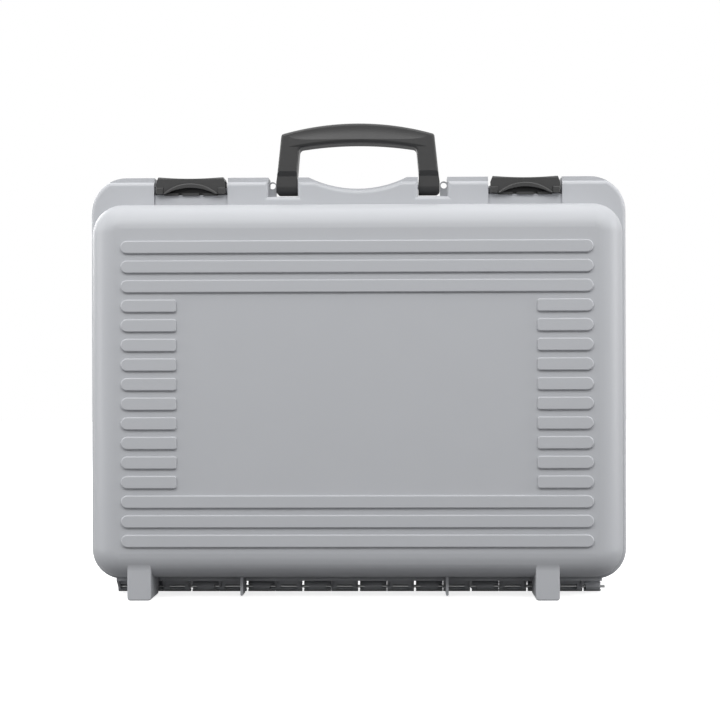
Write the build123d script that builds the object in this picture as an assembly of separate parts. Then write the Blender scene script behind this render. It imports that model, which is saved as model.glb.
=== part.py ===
from build123d import *
from math import cos, radians, tan
import os

# Carry case, in millimetres. X runs along the hinge, the lid faces -Y, +Z is up.
# The origin lies under the middle of the case, on the surface that the feet stand on.

# Case as a whole
case_width = 441.0
rim_bottom = 12.6
rim_top = 344.3
rim_corner_radius = 29.0
rim_low_corner = 25.0
rim_depth = 13.0
rim_edge_round = 3.5
flange_depth = 10.0
flange_rise = 3.6
rim_front_top = rim_top - flange_rise
parting_gap = 0.2
wall = 2.5

# Deep body of each half shell, sized where it leaves the parting plane
rim_side_margin = 5.4
rim_bottom_margin = 3.9
rim_top_margin = 24.6
body_width = case_width - 2 * rim_side_margin
body_bottom = rim_bottom + rim_bottom_margin
body_top = rim_top - rim_top_margin
body_corner_radius = 25.0
body_depth = 53.0
body_edge_round = 21.0
body_draft = 1.0
root_round = 0.6

# Raised bars on the main face
bar_count = 16
bar_long_rows = 3
bar_pitch = 15.65
bar_width = 10.3
bar_height = 2.0
bar_edge_round = 1.0
bar_side_margin = 26.5
bar_top_margin = 36.7
bar_short_length = 44.6
bar_inner_round = 2.0
bar_outer_end = body_width / 2 - bar_side_margin
bar_inner_end = bar_outer_end - bar_short_length

# Pins of the handle
handle_axis_drop = 7.0
handle_axis_z = rim_top - handle_axis_drop
handle_pin_radius = 2.0
pin_recess = 0.5
pin_fit = 0.05

# Handle, from its lugs up to its grip
lug_inner = 50.1
lug_width = 17.6
lug_radius = 7.2
lug_corner = 2.5
lug_shoulder = 3.5
lug_outer = lug_inner + lug_width
lug_shoulder_z = handle_axis_z + lug_shoulder
leg_half_depth = 10.0
leg_outer_step = 0.7
leg_inner_step = 0.4
leg_outer_lean = 3.7
leg_inner_lean = 2.0
leg_low_outer = lug_outer - leg_outer_step
leg_low_inner = lug_inner + leg_inner_step
leg_top_outer = leg_low_outer - leg_outer_lean
leg_top_inner = leg_low_inner - leg_inner_lean
collar_rise = 8.3
collar_height = 4.1
collar_low = handle_axis_z + collar_rise
collar_high = collar_low + collar_height
leg_rise = 42.8
crown_height = 8.9
grip_thickness = 16.3
under_crown_height = 3.9
grip_corner_z = handle_axis_z + leg_rise
grip_top_z = grip_corner_z + crown_height
grip_under_z = grip_top_z - grip_thickness
grip_under_corner_z = grip_under_z - under_crown_height
grip_inner_round = 3.5
grip_outer_round = 2.6
handle_edge_round = 2.0
swell_half_depth = 12.4
swell_half_width = 68.0
swell_height = 11.8
swell_lift = 0.3
swell_edge_round = 2.4
scoop_radius = 19.0

# Pockets that the handle turns in
pocket_inner_gap = 0.5
pocket_outer_gap = 6.2
pocket_floor_gap = 1.7
pocket_inner = lug_inner - pocket_inner_gap
pocket_outer = lug_outer + pocket_outer_gap
pocket_floor = handle_axis_z - lug_radius - pocket_floor_gap

# Bosses beside the pockets, which hold the handle pins
boss_radius = 5.0
boss_length = 7.6
boss_clearance = 0.4
boss_end = 2.4
boss_inner = pocket_inner - boss_length

# Dip in the rim under the fingers
dip_boss_gap = 1.4
dip_half_width = boss_inner - dip_boss_gap
dip_depth = 9.5
dip_step = 1.0

# Seal eye beside each handle lug
eye_radius = 2.6
eye_thickness = 2.0
eye_gap = 0.4
eye_inset = 3.1
eye_rise = 1.0
eye_inner = lug_outer + eye_gap
eye_x = eye_inner + eye_inset
eye_z = handle_axis_z + eye_rise
eye_ring_radius = 3.4

# Hinge
hinge_z = 5.1
hinge_side_margin = 20.1
hinge_half_length = case_width / 2 - hinge_side_margin
hinge_slots = 18
end_knuckle_cut = 8.87
hinge_pitch = 2 * (hinge_half_length + end_knuckle_cut) / hinge_slots
knuckle_gap = 0.8
knuckle_play = 0.2
knuckle_radius = 4.15
rod_radius = 1.2
rod_overhang = 3.6
window_length = 13.2
window_half_height = 2.3
saddle_overlap = 0.6
gusset_thickness = 1.8
gusset_setback = 0.5
rail_drop = 1.6
rail_bottom = rim_bottom - rail_drop
rail_front = 12.0
rail_depth = 3.0
gusset_reach = rail_front - gusset_setback

# Feet and stiffening fins under each half, placed so that those of both halves pass each other
foot_width = 19.2
foot_gap = 3.4
foot_side_margin = 40.2
foot_setback = 3.0
foot_rim_gap = 0.2
foot_front = body_depth - foot_setback
foot_back = rim_depth + foot_rim_gap
foot_corner_round = 2.5
foot_edge_round = 1.2
foot_blend_radius = 12.0
outer_foot = body_width / 2 - foot_side_margin
foot_places = (-outer_foot, outer_foot - foot_width - foot_gap)
fin_width = 2.2
fin_bottom = 1.2
fin_front = 30.0
fin_foot_distance = 80.2
fin_offset = 22.1
fin_end_round = 0.9
outer_fin = outer_foot - fin_foot_distance
fin_places = (-outer_fin, outer_fin - fin_offset)

# Notch in the rim for each latch
latch_side_margin = 82.6
latch_x = case_width / 2 - latch_side_margin
notch_width = 60.8
notch_depth = 14.3
notch_floor = rim_top - notch_depth
recess_setback = 2.5

# Ridge that a latch hooks over
catch_front = 5.4
catch_back = 1.4
catch_height = 6.4
catch_top = notch_floor + catch_height
catch_chamfer = 1.0
catch_undercut = 1.0
catch_undercut_height = 2.2

# Latch levers
lever_side_gap = 1.8
lever_floor_gap = 0.5
lever_overhang = 0.5
lever_rise = 0.3
lever_width = notch_width - 2 * lever_side_gap
lever_top = rim_top + lever_rise
lever_bottom = notch_floor + lever_floor_gap
lever_front = rim_depth + lever_overhang
lever_wall = 2.2
lever_sag = 1.4
lever_roof = 2.6
lever_nose_round = 2.0
lever_corner_chamfer = 1.8
lever_corner_drop = 5.4
latch_axis_y = 8.5
latch_axis_drop = 6.4
latch_axis_z = lever_top - latch_axis_drop
latch_barrel_radius = 3.6
barrel_inset = 1.2
latch_barrel_length = lever_width - 2 * barrel_inset
latch_pin_radius = 1.5
latch_pin_grip = 2.2
latch_pin_length = notch_width + 2 * latch_pin_grip
hook_width = 44.0
hook_wall = 1.8
hook_clearance = 0.4
hook_front = catch_front + hook_clearance + hook_wall
hook_lip = 0.5
hook_lip_height = 1.0
hook_bottom = notch_floor + hook_clearance
tooth_half_width = 7.0
tooth_gap = 3.2
tooth_wall = 1.8
tooth_drop = 1.0
tooth_clearance = 0.3
tooth_bottom = hook_bottom - tooth_drop
tooth_back = rim_depth - recess_setback + tooth_clearance
tooth_front = tooth_back + tooth_wall
arch_half_width = 20.2
arch_height = 5.0
visor_half_width = 22.8
visor_height = 8.7
visor_reach = 16.2
visor_round = 1.1
block_width = 6.2
block_height = 5.2
block_reach = 15.2
block_round = 0.8

# Interlocking lip round the opening
lip_thickness = 1.6
lip_height = 1.5
lip_side_inset = 4.0
lip_top_offset = 4.3
lip_bottom_offset = 2.1
lip_clearance = 0.3

# Weight-saving cores in the thick top of the rim
core_wall = 3.0
core_depth = 10.0

# Foam inserts
foam_clearance = 0.4
base_foam_face = 2.0
base_insert_depth = 34.0
lid_foam_face = 22.0
foam_border = 24.0
foam_bridge = 24.0
lower_pocket_height = 116.0
pocket_corner_radius = 12.0

# Reach of cuts that run right through, and how far cuts and joined bodies overshoot
far = 60.0
over = 1.0
root = 0.5
hair = 0.01


def face_sketch(x_low, x_high, z_low, z_high, radius=0.0):
    """Rectangle in the plane of the case front, given by its edges."""
    width = x_high - x_low
    height = z_high - z_low
    centre = Pos((x_low + x_high) / 2, (z_low + z_high) / 2)
    if radius > 0:
        return centre * RectangleRounded(width, height, radius)
    return centre * Rectangle(width, height)


def forward(sketch, near, far, taper=0.0):
    """Solid from depth near to depth far in front of the parting plane."""
    return extrude(Plane.XZ.offset(near) * sketch, amount=far - near, taper=taper)


def block(x_low, x_high, y_low, y_high, z_low, z_high):
    """Plain block given by its limits."""
    size = (x_high - x_low, y_high - y_low, z_high - z_low)
    centre = ((x_low + x_high) / 2, (y_low + y_high) / 2, (z_low + z_high) / 2)
    return Pos(*centre) * Box(*size)


def bar_along_x(radius, x_low, x_high, y, z):
    """Round bar along X."""
    length = x_high - x_low
    return Pos((x_low + x_high) / 2, y, z) * Rot(0, 90, 0) * Cylinder(radius, length)


def side_profile(points, x_low, x_high):
    """Outline of (y, z) points, drawn from the side and run along X."""
    outline = make_face(Polyline(*[(x_low, y, z) for y, z in points], close=True))
    return extrude(outline, amount=x_high - x_low, dir=(1, 0, 0))


def segment_radius(half_width, height):
    """Radius of the arc with this half width and this height."""
    return (half_width**2 + height**2) / (2 * height)


def edges_at_depth(shape, depth):
    """Edges that lie in the plane at this depth in front of the parting plane."""
    return shape.edges().filter_by_position(Axis.Y, -depth - hair, -depth + hair)


def deep_body(inset, depth, edge_round):
    """Tapered pan with rounded corners, as outer form or as cavity."""
    half = body_width / 2 - inset
    low = body_bottom + inset
    high = body_top - inset
    section = face_sketch(-half, half, low, high, body_corner_radius - inset)
    pan = forward(section, 0, depth, body_draft)
    return fillet(edges_at_depth(pan, depth), edge_round)


def cavity(clearance=0.0):
    """Room inside one half shell, less a clearance for what lies in it."""
    inset = wall + clearance
    return deep_body(inset, body_depth - inset, body_edge_round - inset)


def rim_outline(step):
    """Outline of the rim, with the dip for the fingers deepened by a step."""
    half = case_width / 2
    outline = face_sketch(-half, half, rim_bottom, rim_top)
    outline = fillet(outline.vertices().group_by(Axis.Y)[0], rim_low_corner)
    outline = fillet(outline.vertices().group_by(Axis.Y)[-1], rim_corner_radius)
    radius = segment_radius(dip_half_width, dip_depth)
    return outline - Pos(0, rim_top - dip_depth + radius) * Circle(radius + step)


def rim():
    """Rim round the opening, with a rounded front that stops short of its top edge."""
    front = rim_outline(dip_step)
    front &= face_sketch(-case_width, case_width, 0, rim_front_top)
    pocket = face_sketch(pocket_inner, pocket_outer, pocket_floor, rim_top)
    front -= [pocket, mirror(pocket, about=Plane.YZ)]
    front = forward(front, 0, rim_depth)
    front = fillet(edges_at_depth(front, rim_depth), rim_edge_round)
    return front + forward(rim_outline(0), 0, flange_depth)


def handle_pocket_cut():
    """Pocket for one handle lug."""
    return block(pocket_inner, pocket_outer, -far, over, pocket_floor, rim_top + over)


def seal_eye():
    """Tab with a hole that takes a seal or small padlock."""
    tab = face_sketch(eye_inner, pocket_outer + over, pocket_floor - over, eye_z)
    ring = Pos(eye_x, eye_z) * Circle(eye_ring_radius)
    tab += ring & face_sketch(eye_inner, pocket_outer, eye_z, rim_top)
    hole = forward(Pos(eye_x, eye_z) * Circle(eye_radius), -over, far)
    return forward(tab, 0, eye_thickness), hole


def notch_cut():
    """Gap in the rim that one latch closes over."""
    half = notch_width / 2
    return block(latch_x - half, latch_x + half, -far, over, notch_floor, rim_top + over)


def raised_bar(x_low, x_high, z):
    """One bar, with half-round ends at the outside of the case and blunter ones at the panel."""
    outline = face_sketch(x_low, x_high, z - bar_width / 2, z + bar_width / 2)
    outer = outline.vertices().filter_by(lambda v: abs(v.X) > bar_outer_end - hair)
    outline = fillet(outer, bar_width / 2 - hair)
    inner = outline.vertices().filter_by(lambda v: abs(abs(v.X) - bar_inner_end) < hair)
    if inner:
        outline = fillet(inner, bar_inner_round)
    top = body_depth + bar_height
    bar = forward(outline, body_depth - root, top)
    return fillet(edges_at_depth(bar, top), bar_edge_round)


def raised_bars():
    """Rows of raised bars, long above and below, short at both sides of the bare panel."""
    bars = []
    for row in range(bar_count):
        z = body_top - bar_top_margin - row * bar_pitch
        if bar_long_rows <= row < bar_count - bar_long_rows:
            bars.append(raised_bar(bar_inner_end, bar_outer_end, z))
            bars.append(raised_bar(-bar_outer_end, -bar_inner_end, z))
        else:
            bars.append(raised_bar(-bar_outer_end, bar_outer_end, z))
    return bars


def foot():
    """Foot with rounded edges, whose front runs softly into the lower rounding of the body."""
    slope = radians(body_draft)
    pan_depth = body_depth - body_edge_round
    pan_z = body_bottom + pan_depth * tan(slope) + body_edge_round / cos(slope)
    section = face_sketch(foot_back, foot_front, 0, pan_z)
    section += Pos(pan_depth, pan_z) * Circle(body_edge_round - hair)
    section &= face_sketch(0, body_depth, 0, pan_z)
    corner = section.vertices().filter_by(lambda v: abs(v.X - foot_front) < hair and v.Y > hair)
    section = fillet(corner, foot_blend_radius)
    upright = Plane(origin=(foot_width / 2, 0, 0), x_dir=(0, -1, 0), z_dir=(-1, 0, 0))
    body = extrude(upright * section, amount=foot_width)
    low = body.edges().filter_by(Axis.Y).filter_by(lambda e: e.center().Z < hair)
    body = fillet(low, foot_corner_round)
    front = body.edges().filter_by(
        lambda e: e.center().Y < hair - foot_front and e.center().Z < pan_z - body_edge_round / 2
    )
    return fillet(front.filter_by(lambda e: e.length < foot_width - hair), foot_edge_round)


def feet():
    """Two feet and two thin fins under one half."""
    pieces = []
    for x in foot_places:
        pieces.append(Pos(x, 0, 0) * foot())
    for x in fin_places:
        outline = face_sketch(x - fin_width / 2, x + fin_width / 2, fin_bottom, body_bottom + wall)
        low = outline.vertices().group_by(Axis.Y)[0]
        pieces.append(forward(fillet(low, fin_end_round), foot_back, fin_front))
    return pieces


def knuckle(x_low, x_high):
    """Hinge knuckle with saddles in front at its ends and behind in its middle."""
    middle = (x_low + x_high) / 2
    near = parting_gap / 2
    barrel = bar_along_x(knuckle_radius, x_low, x_high, 0, hinge_z)
    top = rim_bottom + root
    neck = block(x_low, x_high, -knuckle_radius, -near, hinge_z, top)
    body = barrel + neck
    gusset = [
        (-near, hinge_z),
        (-near, top),
        (-gusset_reach, top),
        (-gusset_reach, rail_bottom),
        (-knuckle_radius, hinge_z),
    ]
    body += side_profile(gusset, x_low, x_low + gusset_thickness)
    body += side_profile(gusset, x_high - gusset_thickness, x_high)
    low = hinge_z - window_half_height
    high = hinge_z + window_half_height
    between = x_high - x_low - 2 * gusset_thickness
    half_window = min(window_length, between) / 2
    half_saddle = half_window + saddle_overlap
    body -= block(middle - half_window, middle + half_window, -far, 0, low, high)
    body -= block(x_low - over, middle - half_saddle, 0, far, low, high)
    body -= block(middle + half_saddle, x_high + over, 0, far, low, high)
    return body


def hinge_row():
    """Knuckles in every other slot, from the left end."""
    knuckles = []
    for slot in range(0, hinge_slots, 2):
        x_low = (slot - hinge_slots / 2) * hinge_pitch
        x_high = x_low + hinge_pitch - knuckle_gap
        knuckles.append(knuckle(max(x_low + knuckle_play, -hinge_half_length), x_high))
    return knuckles


def hinge_rail():
    """Ledge along the underside of the rim, over the knuckles."""
    half = hinge_half_length
    return block(-half, half, -rail_front, rail_depth - rail_front, rail_bottom, rim_bottom + root)


def rod_bore():
    """Bore of the hinge rod through all knuckles."""
    reach = hinge_half_length + over
    return bar_along_x(rod_radius + pin_fit, -reach, reach, 0, hinge_z)


def lip_ring(thickness, near, far):
    """Ring that follows the opening at the parting face."""
    half = body_width / 2 - wall + lip_side_inset
    low = body_bottom + wall - lip_bottom_offset
    high = body_top - wall + lip_top_offset
    outer = thickness / 2
    radius = body_corner_radius
    ring = face_sketch(-half - outer, half + outer, low - outer, high + outer, radius + outer)
    ring -= face_sketch(-half + outer, half - outer, low + outer, high - outer, radius - outer)
    return forward(ring, near, far)


def rim_cores():
    """Blind cores in the thick top of the rim, between its dip, pockets, notches and corners."""
    floor = body_top - wall + lip_top_offset + lip_thickness + core_wall
    ceiling = rim_front_top - core_wall
    latch_low = latch_x - notch_width / 2
    latch_high = latch_x + notch_width / 2
    corner = case_width / 2 - rim_corner_radius
    centre = boss_inner - core_wall
    return [
        block(-centre, centre, -core_depth, over, floor, rim_top - dip_depth - core_wall),
        block(pocket_outer + core_wall, latch_low - core_wall, -core_depth, over, floor, ceiling),
        block(latch_high + core_wall, corner, -core_depth, over, floor, ceiling),
    ]


def both_sides(piece):
    """A piece and its mirror image at the other side of the case."""
    return [piece, mirror(piece, about=Plane.YZ)]


def half_shell():
    """What both halves share, drawn as the lid half in front of the parting plane."""
    shell = rim() + deep_body(0, body_depth, body_edge_round)
    rim_face = shell.faces().filter_by_position(Axis.Y, -rim_depth - hair, -rim_depth + hair)[0]
    shell = fillet(rim_face.inner_wires()[0].edges(), root_round)
    shell += feet()
    shell -= cavity()
    for cut in both_sides(handle_pocket_cut()) + both_sides(notch_cut()):
        shell -= cut
    tab, hole = seal_eye()
    shell += both_sides(tab)
    for cut in both_sides(hole):
        shell -= cut
    for core in rim_cores():
        for cut in both_sides(core):
            shell -= cut
    shell += raised_bars()
    shell += hinge_rail()
    shell -= block(-case_width, case_width, -parting_gap / 2, over, 0, rim_top + over)
    shell += hinge_row()
    shell -= rod_bore()
    return shell


def latch_catch():
    """Ridge from wall to wall of the notch, undercut in front for the lever's lip."""
    low = notch_floor - over
    step_z = notch_floor + catch_undercut_height
    inner_face = catch_undercut - catch_front
    outline = [
        (-catch_back, low),
        (-catch_back, catch_top),
        (catch_chamfer - catch_front, catch_top),
        (-catch_front, catch_top - catch_chamfer),
        (-catch_front, step_z),
        (inner_face, step_z - catch_undercut),
        (inner_face, low),
    ]
    reach = notch_width / 2 + over
    return side_profile(outline, latch_x - reach, latch_x + reach)


def lid_shell():
    """Front half: groove for the lip, reliefs for the handle bosses, catches for the latches."""
    shell = half_shell()
    groove = lip_ring(lip_thickness + 2 * lip_clearance, 0, lip_height + lip_clearance)
    shell -= groove
    relief_radius = boss_radius + boss_clearance
    relief = bar_along_x(
        relief_radius, boss_inner - boss_clearance, pocket_inner + over, 0, handle_axis_z
    )
    half = notch_width / 2
    recess_back = recess_setback - rim_depth
    recess = block(latch_x - half, latch_x + half, -far, recess_back, body_top, notch_floor + over)
    recess -= deep_body(0, body_depth, body_edge_round)
    for cut in both_sides(relief) + both_sides(recess):
        shell -= cut
    shell += both_sides(latch_catch())
    return shell


def base_shell():
    """Rear half: the lip itself, bosses and bores for the handle pins, bores for the latch pins."""
    shell = Rot(0, 0, 180) * half_shell()
    shell += lip_ring(lip_thickness, -over, lip_height)
    shell += both_sides(bar_along_x(boss_radius, boss_inner, pocket_inner, 0, handle_axis_z))
    handle_bore = bar_along_x(
        handle_pin_radius + pin_fit, boss_inner + boss_end, pocket_inner + over, 0, handle_axis_z
    )
    reach = latch_pin_length / 2 + pin_fit
    latch_bore = bar_along_x(
        latch_pin_radius + pin_fit, latch_x - reach, latch_x + reach, latch_axis_y, latch_axis_z
    )
    for cut in both_sides(handle_bore) + both_sides(latch_bore):
        shell -= cut
    return shell


def hinge_rod():
    """Steel rod through all the knuckles."""
    return bar_along_x(rod_radius, -hinge_half_length, hinge_half_length + rod_overhang, 0, hinge_z)


def handle_bow():
    """Legs and crowned grip of the handle, seen from the front."""
    right = [(leg_low_inner, collar_low), (leg_low_outer, collar_low), (leg_top_outer, grip_corner_z)]
    left = [(-x, z) for x, z in reversed(right)]
    under_left = (-leg_top_inner, grip_under_corner_z)
    under_right = (leg_top_inner, grip_under_corner_z)
    crown = ThreePointArc(right[-1], (0, grip_top_z), left[0])
    under = ThreePointArc(under_left, (0, grip_under_z), under_right)
    lines = [Line(a, b) for a, b in zip(right, right[1:])]
    lines += [Line(a, b) for a, b in zip(left, left[1:])]
    lines += [Line(left[-1], under_left), Line(under_right, right[0])]
    face = make_face([crown, under] + lines)
    inner = face.vertices().filter_by(lambda v: abs(v.Y - grip_under_corner_z) < hair)
    face = fillet(inner, grip_inner_round)
    outer = face.vertices().filter_by(lambda v: abs(v.Y - grip_corner_z) < hair)
    return fillet(outer, grip_outer_round)


def handle_lug():
    """Lug that turns in the right pocket, round below its pin and wider than the leg."""
    low = handle_axis_z - lug_radius
    outline = [
        (leg_low_inner, collar_low),
        (lug_inner, lug_shoulder_z),
        (lug_inner, low),
        (lug_outer - lug_corner, low),
        (lug_outer, low + lug_corner),
        (lug_outer, lug_shoulder_z),
        (leg_low_outer, collar_low),
    ]
    front = forward(make_face(Polyline(*outline, close=True)), -lug_radius, lug_radius)
    barrel = bar_along_x(lug_radius, lug_inner, lug_outer, 0, handle_axis_z)
    above = block(lug_inner, lug_outer, -lug_radius, lug_radius, handle_axis_z, collar_low)
    return front & (barrel + above)


def collar_cut():
    """Wedges that taper the legs into the thinner lugs."""
    outline = [
        (leg_half_depth + over, collar_low - over),
        (lug_radius, collar_low - over),
        (lug_radius, collar_low),
        (leg_half_depth, collar_high),
        (leg_half_depth + over, collar_high),
    ]
    wedge = side_profile(outline, -lug_outer - over, lug_outer + over)
    return [wedge, mirror(wedge, about=Plane.XZ)]


def grip_swell():
    """Fuller middle of the grip, flared to a round lower edge front and back."""
    inner_radius = segment_radius(leg_top_inner, grip_under_z - grip_under_corner_z) + swell_lift
    centre_z = grip_under_z + swell_lift - inner_radius
    ring = Circle(inner_radius + swell_height) - Circle(inner_radius)
    band = forward(Pos(0, centre_z) * ring, -swell_half_depth, swell_half_depth)
    sunk_depth = leg_half_depth - over
    plan_radius = segment_radius(swell_half_width, swell_half_depth - sunk_depth)
    lens = Pos(0, swell_half_depth - plan_radius) * Circle(plan_radius)
    lens &= Pos(0, plan_radius - swell_half_depth) * Circle(plan_radius)
    lens &= Rectangle(2 * (leg_top_outer - handle_edge_round), 4 * swell_half_depth)
    above = Plane.XY.offset(grip_under_z - 2 * swell_height)
    swell = band & extrude(above * lens, amount=4 * swell_height)
    middle_z = grip_under_z + swell_height / 2
    long_edges = swell.edges().filter_by(lambda e: e.length > swell_half_width)
    swell = fillet(long_edges.filter_by(lambda e: (e @ 0.5).Z < middle_z), swell_edge_round)
    scoop = Rot(90, 0, 0) * Torus(inner_radius + swell_height, scoop_radius)
    for side in (-1, 1):
        swell -= Pos(0, side * (leg_half_depth + scoop_radius), centre_z) * scoop
    return swell


def handle():
    """Carrying handle, turned on two pins."""
    body = forward(handle_bow(), -leg_half_depth, leg_half_depth)
    outline = edges_at_depth(body, leg_half_depth) + edges_at_depth(body, -leg_half_depth)
    body = fillet(outline.filter_by(lambda e: e.center().Z > collar_low + hair), handle_edge_round)
    for wedge in collar_cut():
        body -= wedge
    body += both_sides(handle_lug())
    body += grip_swell()
    bore_radius = handle_pin_radius + pin_fit
    bore = bar_along_x(bore_radius, lug_inner - over, lug_outer + over, 0, handle_axis_z)
    for cut in both_sides(bore):
        body -= cut
    return body


def handle_pin(side):
    """Steel pin pressed into the boss of the base, on which one lug turns."""
    pin = bar_along_x(
        handle_pin_radius, boss_inner + boss_end, lug_outer - pin_recess, 0, handle_axis_z
    )
    return pin if side > 0 else mirror(pin, about=Plane.YZ)


def arch(half_width, height):
    """Area under a low arch that stands on the lever's lower edge."""
    radius = segment_radius(half_width, height)
    disc = Pos(0, lever_bottom + height - radius) * Circle(radius)
    return disc & face_sketch(-half_width, half_width, 0, lever_top)


def lever_body():
    """Roof, front wall and pin barrel of a latch lever."""
    half = lever_width / 2
    roof_under = lever_top - lever_roof
    inner_front = lever_wall - lever_front
    arm_front = latch_axis_y - latch_barrel_radius
    outline = [
        (latch_axis_y, latch_axis_z),
        (latch_axis_y + latch_barrel_radius, latch_axis_z),
        (latch_axis_y, lever_top),
        (-lever_front, lever_top),
        (-lever_front, lever_bottom),
        (inner_front, lever_bottom),
        (inner_front, roof_under),
        (arm_front, roof_under),
        (arm_front, latch_axis_z),
    ]
    body = side_profile(outline, -half, half)
    nose = body.edges().filter_by(Axis.X).filter_by(
        lambda e: e.center().Y < hair - lever_front and e.center().Z > lever_top - hair
    )
    body = fillet(nose, lever_nose_round)
    for side in (-1, 1):
        corner = [
            (side * half, lever_top),
            (side * (half - lever_corner_chamfer), lever_top),
            (side * half, lever_top - lever_corner_drop),
        ]
        body -= forward(make_face(Polyline(*corner, close=True)), -far, far)
    sag_radius = segment_radius(half - lever_corner_chamfer, lever_sag)
    body -= forward(Pos(0, lever_top - lever_sag + sag_radius) * Circle(sag_radius), -far, far)
    ends = latch_barrel_length / 2
    body -= block(ends, half + over, arm_front - over, far, lever_bottom, roof_under)
    body -= block(-half - over, -ends, arm_front - over, far, lever_bottom, roof_under)
    return body + bar_along_x(latch_barrel_radius, -ends, ends, latch_axis_y, latch_axis_z)


def lever_hook():
    """Wall behind the front of the lever, with the lip that catches and three teeth below it."""
    back = hook_wall - hook_front
    half = hook_width / 2
    hook = block(-half, half, -hook_front, back, hook_bottom, lever_top - lever_roof / 2)
    hook += block(-half, half, -hook_front, back + hook_lip, hook_bottom, hook_bottom + hook_lip_height)
    tooth = [
        (-hook_front, hook_bottom),
        (-tooth_back, hook_bottom),
        (-tooth_back, tooth_bottom),
        (-tooth_front, tooth_bottom),
        (-tooth_front, hook_bottom + hook_lip_height),
        (-hook_front, hook_bottom + hook_lip_height),
    ]
    first = tooth_half_width + tooth_gap
    for x_low, x_high in ((-half, -first), (-tooth_half_width, tooth_half_width), (first, half)):
        hook += side_profile(tooth, x_low, x_high)
    return hook


def latch_lever():
    """Latch lever with an arched finger gap under a visor, at the middle of the case."""
    body = lever_body()
    inner_front = lever_wall - lever_front
    body -= forward(arch(arch_half_width, arch_height), -inner_front - hair, far)
    crescent = arch(visor_half_width, visor_height) - arch(arch_half_width, arch_height)
    crescent &= face_sketch(-visor_half_width, visor_half_width, lever_bottom, lever_top)
    visor = forward(crescent, lever_front - lever_wall / 2, visor_reach)
    crest = edges_at_depth(visor, visor_reach).filter_by(lambda e: e.length > 2 * visor_half_width)
    body += fillet(crest.sort_by(Axis.Z)[-1], visor_round)
    half = lever_width / 2
    top = lever_bottom + block_height
    for x_low in (-half, half - block_width):
        lug = block(x_low, x_low + block_width, -block_reach, inner_front, lever_bottom, top)
        front_edges = edges_at_depth(lug, block_reach).filter_by(lambda e: e.center().Z > lever_bottom + hair)
        body += fillet(front_edges, block_round)
    body += lever_hook()
    return body - bar_along_x(latch_pin_radius + pin_fit, -half, half, latch_axis_y, latch_axis_z)


def latch_pin():
    """Steel pin of one latch, held in the walls of its notch."""
    half = latch_pin_length / 2
    return bar_along_x(latch_pin_radius, -half, half, latch_axis_y, latch_axis_z)


def foam_layer(near, depth):
    """Foam that fills one half between two depths from the parting plane."""
    return cavity(foam_clearance) & forward(face_sketch(-case_width, case_width, 0, rim_top), near, depth)


def base_foam_insert():
    """Cut layer of the rear half, with pockets for the device and its accessories."""
    depth = base_foam_face + base_insert_depth
    foam = foam_layer(base_foam_face, depth)
    border = wall + foam_clearance + foam_border
    side = body_width / 2 - border
    middle = foam_bridge / 2
    low = body_bottom + border
    high = body_top - border
    split = low + lower_pocket_height
    openings = [
        face_sketch(middle, side, low, high, pocket_corner_radius),
        face_sketch(-side, -middle, low, split, pocket_corner_radius),
        face_sketch(-side, -middle, split + foam_bridge, high, pocket_corner_radius),
    ]
    for opening in openings:
        foam -= forward(opening, 0, body_depth)
    return Rot(0, 0, 180) * foam


def base_foam_pad():
    """Whole layer under the cut one, on which the contents of the pockets lie."""
    return Rot(0, 0, 180) * foam_layer(base_foam_face + base_insert_depth, body_depth)


def lid_foam():
    """Pad of the front half."""
    return foam_layer(lid_foam_face, body_depth)


def main():
    os.makedirs("parts", exist_ok=True)
    lever = latch_lever()
    pin = latch_pin()
    pieces = {
        "lid_shell": lid_shell(),
        "base_shell": base_shell(),
        "lid_foam": lid_foam(),
        "base_foam_insert": base_foam_insert(),
        "base_foam_pad": base_foam_pad(),
        "hinge_rod": hinge_rod(),
        "handle": handle(),
    }
    for name, side in (("left", -1), ("right", 1)):
        pieces[f"handle_pin_{name}"] = handle_pin(side)
        pieces[f"latch_lever_{name}"] = Pos(side * latch_x, 0, 0) * lever
        pieces[f"latch_pin_{name}"] = Pos(side * latch_x, 0, 0) * pin
    for name, piece in pieces.items():
        export_step(piece, f"parts/{name}.step")


if __name__ == "__main__":
    main()
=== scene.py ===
from math import cos, pi, radians

import bpy
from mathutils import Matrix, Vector


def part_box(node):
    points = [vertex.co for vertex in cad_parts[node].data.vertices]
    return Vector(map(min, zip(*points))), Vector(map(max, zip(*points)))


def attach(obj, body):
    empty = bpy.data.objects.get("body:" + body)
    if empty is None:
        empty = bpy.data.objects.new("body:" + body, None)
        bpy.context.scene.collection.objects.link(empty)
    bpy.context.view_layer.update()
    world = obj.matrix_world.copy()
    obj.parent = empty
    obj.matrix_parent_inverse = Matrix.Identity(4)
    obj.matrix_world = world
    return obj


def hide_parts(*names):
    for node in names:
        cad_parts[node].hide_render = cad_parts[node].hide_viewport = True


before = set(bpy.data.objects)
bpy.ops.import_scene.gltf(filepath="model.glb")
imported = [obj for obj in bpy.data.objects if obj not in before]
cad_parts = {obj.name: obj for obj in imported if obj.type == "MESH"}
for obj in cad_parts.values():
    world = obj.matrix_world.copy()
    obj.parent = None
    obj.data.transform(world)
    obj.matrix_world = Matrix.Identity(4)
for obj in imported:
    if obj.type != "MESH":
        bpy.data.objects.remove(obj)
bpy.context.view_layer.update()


# Half shells of the case.
# Two mouldings in grey polypropylene with a fine spark-eroded grain,
# joined along the bottom by the hinge rod.

MM = 0.001
SHELL_GREY = (0.421, 0.431, 0.452)
SHELL_CLOUDING = 0.015
SHELL_FLOW = 45 * MM
SHELL_GRAIN = 0.45 * MM
SHELL_GRAIN_HEIGHT = 0.035 * MM
SHELL_ROUGHNESS = 0.4
GRAIN_DETAIL = 3.0
GRAIN_ROUGHNESS = 0.12


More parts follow.
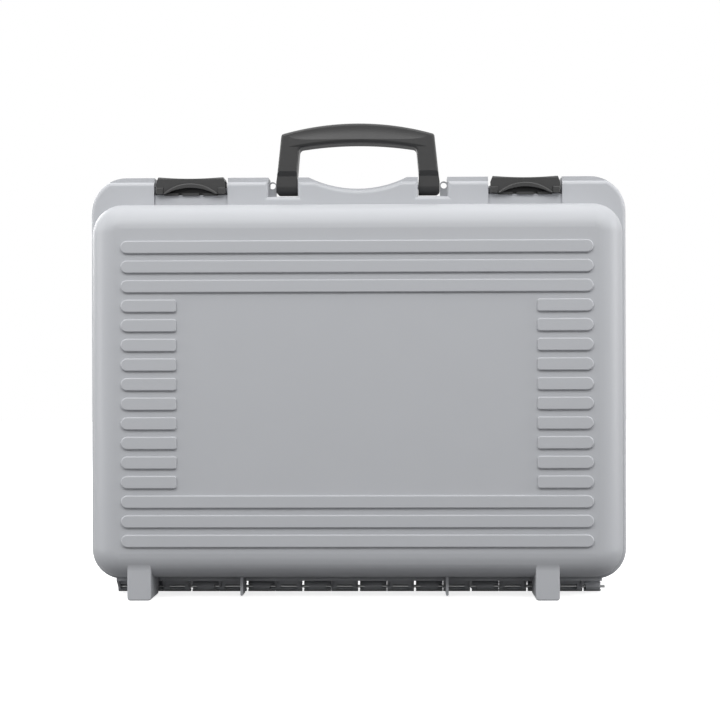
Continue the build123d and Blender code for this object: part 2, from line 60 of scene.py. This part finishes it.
class Socket:
    """A value, colour or surface in a shader, so that its maths reads as plain expressions."""

    def __init__(self, shader, link):
        self.shader = shader
        self.link = link

    def __add__(self, other):
        return self.shader.math("ADD", self, other)

    def __mul__(self, other):
        return self.shader.math("MULTIPLY", self, other)

    __radd__ = __add__
    __rmul__ = __mul__


class Shader:
    """The nodes of a material or of the world."""

    def __init__(self, owner):
        owner.use_nodes = True
        self.tree = owner.node_tree
        self.tree.nodes.clear()

    def node(self, kind, settings, inputs, output=0):
        """Any node: its settings first, then the values or links of its sockets."""
        made = self.tree.nodes.new("ShaderNode" + kind)
        for name, value in settings.items():
            setattr(made, name, value)
        for name, value in inputs.items():
            if isinstance(value, Socket):
                self.tree.links.new(value.link, made.inputs[name])
            else:
                made.inputs[name].default_value = value
        return Socket(self, made.outputs[output])

    def math(self, operation, first, second):
        """One step of arithmetic on two values or links."""
        return self.node("Math", {"operation": operation}, {0: first, 1: second})

    def show(self, surface, output):
        """Ends the nodes with the output of this kind."""
        end = self.tree.nodes.new("ShaderNode" + output)
        self.tree.links.new(surface.link, end.inputs["Surface"])


class Finish(Shader):
    """A material under construction, with patterns that stay in place on its piece."""

    def __init__(self, name):
        self.material = bpy.data.materials.new(name)
        super().__init__(self.material)
        self.place = self.node("TexCoord", {}, {}, "Object")

    def noise(self, size, detail=2.0, place=None):
        """Smooth noise from 0 to 1, whose lumps are about this large."""
        inputs = {"Vector": place or self.place, "Scale": 1 / size, "Detail": detail}
        return self.node("TexNoise", {}, inputs, "Fac")

    def cells(self, size):
        """Distance to the nearest of many scattered points, in cells of this size."""
        return self.node("TexVoronoi", {}, {"Vector": self.place, "Scale": 1 / size}, "Distance")

    def tint(self, amount, dark, light):
        """Colour between two, by an amount from 0 to 1."""
        inputs = {0: amount, 6: dark + (1,), 7: light + (1,)}
        return self.node("Mix", {"data_type": "RGBA"}, inputs, 2)

    def relief(self, height, distance):
        """Normal of a surface with this relief, as high as the distance."""
        return self.node("Bump", {}, {"Height": height, "Distance": distance}, "Normal")

    def finished(self, **inputs):
        """The material itself, with these values and links on its surface shader."""
        named = {name.replace("_", " "): value for name, value in inputs.items()}
        self.show(self.node("BsdfPrincipled", {}, named), "OutputMaterial")
        return self.material


def shade(colour, factor):
    """The same colour, darker or lighter."""
    return tuple(channel * factor for channel in colour)


def moulded(name, colour, clouding, flow_size, grain_size, grain_height, roughness):
    """Moulded plastic: faint clouds where it flowed, and the grain of the mould."""
    finish = Finish(name)
    grain = finish.noise(grain_size, GRAIN_DETAIL)
    flow = finish.noise(flow_size)
    return finish.finished(
        Base_Color=finish.tint(flow, shade(colour, 1 - clouding), shade(colour, 1 + clouding)),
        Roughness=roughness + grain * GRAIN_ROUGHNESS,
        Normal=finish.relief(grain, grain_height),
    )


def dress(names, material):
    """Gives CAD nodes this finish and no other."""
    for name in names:
        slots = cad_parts[name].data.materials
        slots.clear()
        slots.append(material)


moulded_grey = moulded(
    "moulded_grey",
    colour=SHELL_GREY,
    clouding=SHELL_CLOUDING,
    flow_size=SHELL_FLOW,
    grain_size=SHELL_GRAIN,
    grain_height=SHELL_GRAIN_HEIGHT,
    roughness=SHELL_ROUGHNESS,
)
dress(["lid_shell", "base_shell"], moulded_grey)


# Carrying handle and latch levers.
# Dark grey glass-filled nylon, with a slightly coarser grain than the shells.
# The handle hangs on two pins, each lever on one.

NYLON_GREY = (0.02, 0.02, 0.0203)
NYLON_CLOUDING = 0.06
NYLON_FLOW = 22.5 * MM
NYLON_GRAIN = 0.6 * MM
NYLON_GRAIN_HEIGHT = 0.05 * MM
NYLON_ROUGHNESS = 0.36

moulded_dark = moulded(
    "moulded_dark",
    colour=NYLON_GREY,
    clouding=NYLON_CLOUDING,
    flow_size=NYLON_FLOW,
    grain_size=NYLON_GRAIN,
    grain_height=NYLON_GRAIN_HEIGHT,
    roughness=NYLON_ROUGHNESS,
)
dress(["handle", "latch_lever_left", "latch_lever_right"], moulded_dark)


# Hinge rod and pins.
# Drawn steel wire, bright, with fine scratches along its length. The rod runs
# through all the knuckles, and each pin holds the handle or a latch lever.

WIRE_STEEL = (0.62, 0.63, 0.63)
WIRE_DARKEST = 0.8
WIRE_ROUGHNESS = 0.28
SCRATCH_WIDTH = 0.25 * MM
SCRATCH_STRETCH = 60
SCRATCH_HEIGHT = 0.01 * MM
SCRATCH_ROUGHNESS = 0.15


def drawn_wire():
    finish = Finish("drawn_wire")
    along = {"Vector": finish.place, "Scale": (1 / SCRATCH_STRETCH, 1, 1)}
    scratches = finish.noise(SCRATCH_WIDTH, place=finish.node("Mapping", {}, along))
    return finish.finished(
        Base_Color=finish.tint(scratches, shade(WIRE_STEEL, WIRE_DARKEST), WIRE_STEEL),
        Metallic=1.0,
        Roughness=WIRE_ROUGHNESS + scratches * SCRATCH_ROUGHNESS,
        Normal=finish.relief(scratches, SCRATCH_HEIGHT),
    )


wires = ["hinge_rod", "handle_pin_left", "handle_pin_right", "latch_pin_left", "latch_pin_right"]
dress(wires, drawn_wire())


# Foam inserts.
# Charcoal polyurethane foam: a convoluted pad in the lid, and in the base
# a layer with cut pockets on a whole layer.

FOAM_BLACK = (0.016, 0.0165, 0.018)
FOAM_DARKEST = 0.55
FOAM_PALEST = 2.6
FOAM_ROUGHNESS = 0.95
FOAM_SPECULAR = 0.2
FOAM_CELL = 1.1 * MM
FOAM_CELL_DEPTH = 0.5 * MM
FOAM_LUMP = 8 * MM
FOAM_LUMP_DETAIL = 4.0
FOAM_LUMP_DEPTH = 0.4
FLECK_OF_CELLS = 0.7
FLECK_OF_LUMPS = 0.6
FOAM_VOXEL = 2.2 * MM
FOAM_INSET = Vector((0.8 * MM, 0, 0.8 * MM))
EGG_PITCH = 38 * MM
EGG_DEPTH = 9 * MM
CUT_BORDER = 24 * MM
CUT_BRIDGE = 24 * MM
CUT_LOWER_HEIGHT = 116 * MM
CUT_CORNER = 12 * MM
KNIFE_REACH = Vector((0, 10 * MM, 0))
CAVITY_CORNER = 22 * MM
CORNER_SEGMENTS = 10
LID_BACK_EDGE = 17.5 * MM
BASE_BACK_EDGE = 13.5 * MM
BACK_SEGMENTS = 8
HAIR = 0.01 * MM


def open_cell_foam():
    finish = Finish("open_cell_foam")
    cells = finish.cells(FOAM_CELL)
    lumps = finish.noise(FOAM_LUMP, FOAM_LUMP_DETAIL)
    fleck = cells * FLECK_OF_CELLS + lumps * FLECK_OF_LUMPS
    dark = shade(FOAM_BLACK, FOAM_DARKEST)
    pale = shade(FOAM_BLACK, FOAM_PALEST)
    return finish.finished(
        Base_Color=finish.tint(fleck, dark, pale),
        Roughness=FOAM_ROUGHNESS,
        Specular_IOR_Level=FOAM_SPECULAR,
        Normal=finish.relief(cells + lumps * FOAM_LUMP_DEPTH, FOAM_CELL_DEPTH),
    )


foam = open_cell_foam()


def bevelled(piece, wanted, radius, segments):
    """Rounds the edges that pass the test on their two ends."""
    bpy.context.view_layer.objects.active = piece
    bpy.ops.object.mode_set(mode="EDIT")
    bpy.ops.mesh.select_mode(type="EDGE")
    bpy.ops.mesh.select_all(action="DESELECT")
    bpy.ops.object.mode_set(mode="OBJECT")
    points = piece.data.vertices
    for edge in piece.data.edges:
        a, b = (points[i].co for i in edge.vertices)
        edge.select = wanted(a, b)
    bpy.ops.object.mode_set(mode="EDIT")
    bpy.ops.mesh.bevel(offset=radius, segments=segments, affect="EDGES")
    bpy.ops.object.mode_set(mode="OBJECT")


def rounded_block(name, low, high, corner):
    """Block between two corners, with its four edges along Y rounded."""
    bpy.ops.object.select_all(action="DESELECT")
    size = high - low
    bpy.ops.mesh.primitive_cube_add(size=1, location=(low + high) / 2, scale=size)
    block = bpy.context.active_object
    block.name = name
    bpy.ops.object.transform_apply(location=True, rotation=True, scale=True)
    bevelled(block, lambda a, b: abs(a.y - b.y) > size.y / 2, corner, CORNER_SEGMENTS)
    return block


def rounded_back(block, back_y, radius):
    """Rounds the outline where the foam meets the main wall of its half."""

    def on_back(point):
        return abs(point.y - back_y) < HAIR

    bevelled(block, lambda a, b: on_back(a) and on_back(b), radius, BACK_SEGMENTS)


def applied(piece, kind, **settings):
    """Adds a modifier and applies it."""
    bpy.ops.object.select_all(action="DESELECT")
    piece.select_set(True)
    bpy.context.view_layer.objects.active = piece
    modifier = piece.modifiers.new(kind.lower(), kind)
    for name, value in settings.items():
        setattr(modifier, name, value)
    bpy.ops.object.modifier_apply(modifier=modifier.name)


def even_mesh(piece):
    """Gives a piece one closed mesh of small even faces."""
    applied(piece, "REMESH", mode="VOXEL", voxel_size=FOAM_VOXEL)


def fitted(piece, body, node):
    """Finish and soft shading of one foam piece, its body and the node that it replaces."""
    piece.data.materials.clear()
    piece.data.materials.append(foam)
    piece.data.shade_smooth()
    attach(piece, body)
    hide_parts(node)


low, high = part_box("lid_foam")
lid_pad = rounded_block("lid_egg_foam", low + FOAM_INSET, high - FOAM_INSET, CAVITY_CORNER)
rounded_back(lid_pad, low.y, LID_BACK_EDGE)
even_mesh(lid_pad)
for vertex in lid_pad.data.vertices:
    place = vertex.co
    nearness = max(0.0, (place.y - low.y) / (high.y - low.y))
    waves = cos(2 * pi * place.x / EGG_PITCH) * cos(2 * pi * place.z / EGG_PITCH)
    place.y -= (EGG_DEPTH / 2) * (1 - waves) * nearness**2
fitted(lid_pad, "lid", "lid_foam")

low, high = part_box("base_foam_insert")
insert = rounded_block("base_cut_foam", low + FOAM_INSET, high - FOAM_INSET, CAVITY_CORNER)
left, right = low.x + CUT_BORDER, high.x - CUT_BORDER
bottom, top = low.z + CUT_BORDER, high.z - CUT_BORDER
split = bottom + CUT_LOWER_HEIGHT
cuts = [
    (Vector((left, low.y, bottom)), Vector((-CUT_BRIDGE / 2, high.y, top))),
    (Vector((CUT_BRIDGE / 2, low.y, bottom)), Vector((right, high.y, split))),
    (Vector((CUT_BRIDGE / 2, low.y, split + CUT_BRIDGE)), Vector((right, high.y, top))),
]
for near, far in cuts:
    knife = rounded_block("foam_knife", near - KNIFE_REACH, far + KNIFE_REACH, CUT_CORNER)
    applied(insert, "BOOLEAN", operation="DIFFERENCE", object=knife)
    bpy.data.objects.remove(knife)
even_mesh(insert)
fitted(insert, "base", "base_foam_insert")

low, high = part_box("base_foam_pad")
pad = rounded_block("base_whole_foam", low + FOAM_INSET, high - FOAM_INSET, CAVITY_CORNER)
rounded_back(pad, high.y, BASE_BACK_EDGE)
even_mesh(pad)
fitted(pad, "base", "base_foam_pad")


# Studio.
# White paper on the floor and a white background. The camera sees both pure white,
# and they throw less light than that back on the case.

WHITE = (1, 1, 1, 1)
PAPER_WIDTH = 12
PAPER_BOUNCE = (0.18, 0.18, 0.184, 1)
PAPER_WHITE = (0.6, 0.6, 0.6, 1)
PAPER_NEAR = 0.8
PAPER_FADE = (0.3, 1.6)
PAPER_MIRRORED = 0.16
ROOM_LIGHT = 0.45
ROOM_MIRRORED = 1.0


def seen_directly(shader, mirrored):
    """1 for rays from the camera or through glass, this share for mirrored ones, else 0."""
    camera, glossy, transmission = (
        shader.node("LightPath", {}, {}, f"Is {kind} Ray")
        for kind in ("Camera", "Glossy", "Transmission")
    )
    return shader.math("MAXIMUM", glossy * mirrored + camera, transmission)


def chosen(shader, plain, bright, mirrored, output):
    """Shows one surface to the light and the other to the eye."""
    eye = seen_directly(shader, mirrored)
    shader.show(shader.node("MixShader", {}, {0: eye, 1: plain, 2: bright}), output)


def studio_paper():
    """Dull grey to the light; to the eye white, and brighter away from the case."""
    paper = Finish("studio_paper")
    span = paper.node("VectorMath", {"operation": "LENGTH"}, {0: paper.place}, "Value")
    near, far = PAPER_FADE
    fade = {"Value": span, "From Min": near, "From Max": far, "To Min": PAPER_NEAR}
    glow = paper.node("Emission", {}, {"Strength": paper.node("MapRange", {}, fade)})
    plain = paper.node("BsdfDiffuse", {}, {"Color": PAPER_BOUNCE})
    white = paper.node("BsdfDiffuse", {}, {"Color": PAPER_WHITE})
    bright = paper.node("AddShader", {}, {0: white, 1: glow})
    chosen(paper, plain, bright, PAPER_MIRRORED, "OutputMaterial")
    return paper.material


bpy.ops.object.select_all(action="DESELECT")
bpy.ops.mesh.primitive_plane_add(size=PAPER_WIDTH, location=(0, 0, 0))
floor = bpy.context.active_object
floor.name = "studio_floor"
floor.data.materials.append(studio_paper())

world = bpy.data.worlds.new("studio_world")
bpy.context.scene.world = world
room = Shader(world)
dim = room.node("Background", {}, {"Color": WHITE, "Strength": ROOM_LIGHT})
lit = room.node("Background", {}, {"Color": WHITE, "Strength": 1.0})
chosen(room, dim, lit, ROOM_MIRRORED, "OutputWorld")


# Lamps.
# A soft light overhead, two in front from above, one at each side and one behind.
# Places and sizes are in metres, powers in watts.

CASE_MIDDLE = Vector((0, 0, 0.17))
CASE_TOP = Vector((0, 0, 0.3))


def softbox(name, place, aim, size, power):
    """Rectangular soft light at a place, turned to what it lights."""
    light = bpy.data.lights.new(name, "AREA")
    light.shape = "RECTANGLE"
    light.size, light.size_y = size
    light.energy = power
    lamp = bpy.data.objects.new(name, light)
    bpy.context.scene.collection.objects.link(lamp)
    lamp.location = place
    lamp.rotation_euler = (aim - Vector(place)).to_track_quat("-Z", "Y").to_euler()


softbox("overhead", (0, -0.1, 1.6), CASE_TOP, size=(2.0, 1.0), power=11)
softbox("front_left", (-0.9, -1.6, 1.75), CASE_MIDDLE, size=(1.2, 1.2), power=24.5)
softbox("front_right", (0.9, -1.6, 1.7), CASE_MIDDLE, size=(1.0, 1.0), power=18.5)
softbox("behind", (-1.2, 1.6, 0.9), CASE_MIDDLE, size=(1.0, 1.0), power=15)
softbox("left", (-1.4, -0.15, 0.5), CASE_MIDDLE, size=(0.5, 1.0), power=7)
softbox("right", (1.4, -0.15, 0.5), CASE_MIDDLE, size=(0.5, 1.0), power=9)


# Camera.
# Stands in front of the case at about half its height, turned by less than a degree.
# The picture is shifted in its frame, as in the photograph.

CAMERA_PLACE = (37.4 * MM, -1253 * MM, 172.25 * MM)
CAMERA_ROLL = radians(0.134)
CAMERA_TURN = radians(0.93)
LENS_LENGTH = 75.25
FILM_WIDTH = 36
PICTURE_PIXELS = 720
SHIFT_PIXELS = (-19.1, 25.4)

camera_data = bpy.data.cameras.new("photo_camera")
camera = bpy.data.objects.new("photo_camera", camera_data)
bpy.context.scene.collection.objects.link(camera)
camera.location = CAMERA_PLACE
camera.rotation_euler = (radians(90), CAMERA_ROLL, CAMERA_TURN)
camera_data.lens = LENS_LENGTH
camera_data.sensor_width = FILM_WIDTH
camera_data.shift_x, camera_data.shift_y = (shift / PICTURE_PIXELS for shift in SHIFT_PIXELS)
bpy.context.scene.camera = camera
bpy.context.scene.view_settings.view_transform = "Standard"
